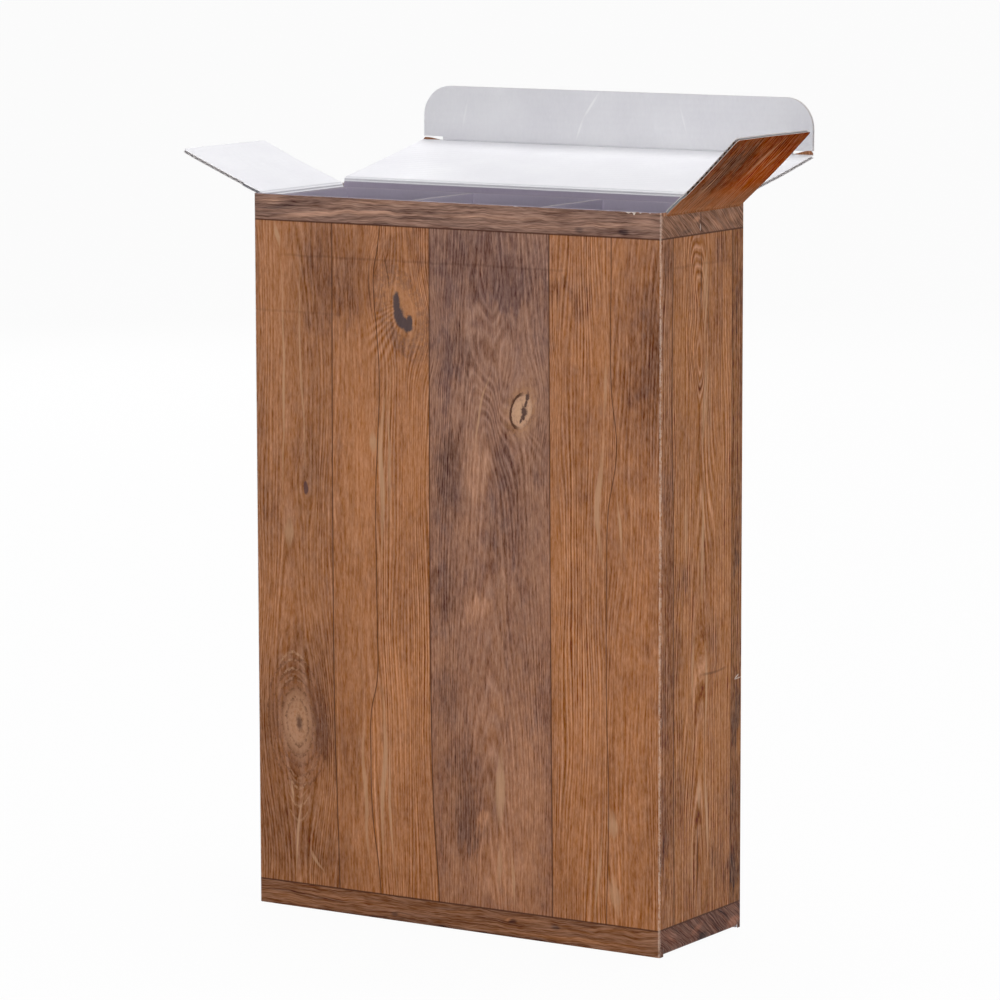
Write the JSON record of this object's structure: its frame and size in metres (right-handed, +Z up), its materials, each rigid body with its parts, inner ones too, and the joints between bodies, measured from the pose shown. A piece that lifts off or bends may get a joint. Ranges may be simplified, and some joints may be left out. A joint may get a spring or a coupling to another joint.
{
  "type": "bottle shipping box",
  "caption": "Tall tuck-top corrugated carton for shipping wine bottles: wood-plank print outside, white inside, dust flaps, tuck lid and a folded bottle divider.",
  "frame": {"origin": "middle of the carton's underside, on the surface it stands on", "axes": "+X to the right across the front, +Y from front to back, +Z up"},
  "size_m": [0.3277, 0.1565, 0.4148],
  "materials": {
    "printed_board": "corrugated board, printed brown plank pattern outside, white inside",
    "white_board": "uncoated white corrugated board"
  },
  "bodies": {
    "carton": {"carton_body": "printed_board", "bottle_divider": "white_board"},
    "left_flap": {"dust_flap_left": "printed_board"},
    "right_flap": {"dust_flap_right": "printed_board"},
    "lid": {"lid_panel": "printed_board"},
    "tuck": {"tuck_flap": "printed_board"}
  },
  "joints": [
    {"name": "left_flap_fold", "type": "hinge", "parent": "carton", "child": "left_flap", "pos_m": [-0.1192, 0, 0.3671], "axis": [0, 1, 0], "range_deg": [-47.3, 157.7]},
    {"name": "right_flap_fold", "type": "hinge", "parent": "carton", "child": "right_flap", "pos_m": [0.1192, 0, 0.3671], "axis": [0, -1, 0], "range_deg": [-68.8, 136.2]},
    {"name": "lid_fold", "type": "hinge", "parent": "carton", "child": "lid", "pos_m": [0, 0.0396, 0.3701], "axis": [1, 0, 0], "range_deg": [-36.5, 168.5]},
    {"name": "tuck_fold", "type": "hinge", "parent": "lid", "child": "tuck", "pos_m": [0, 0.11535, 0.38551], "axis": [1, 0, 0], "range_deg": [-6, 26.5]}
  ],
  "couplings": [
    {"joint": "tuck_fold", "follows": "lid_fold", "ratio": 0.155}
  ]
}
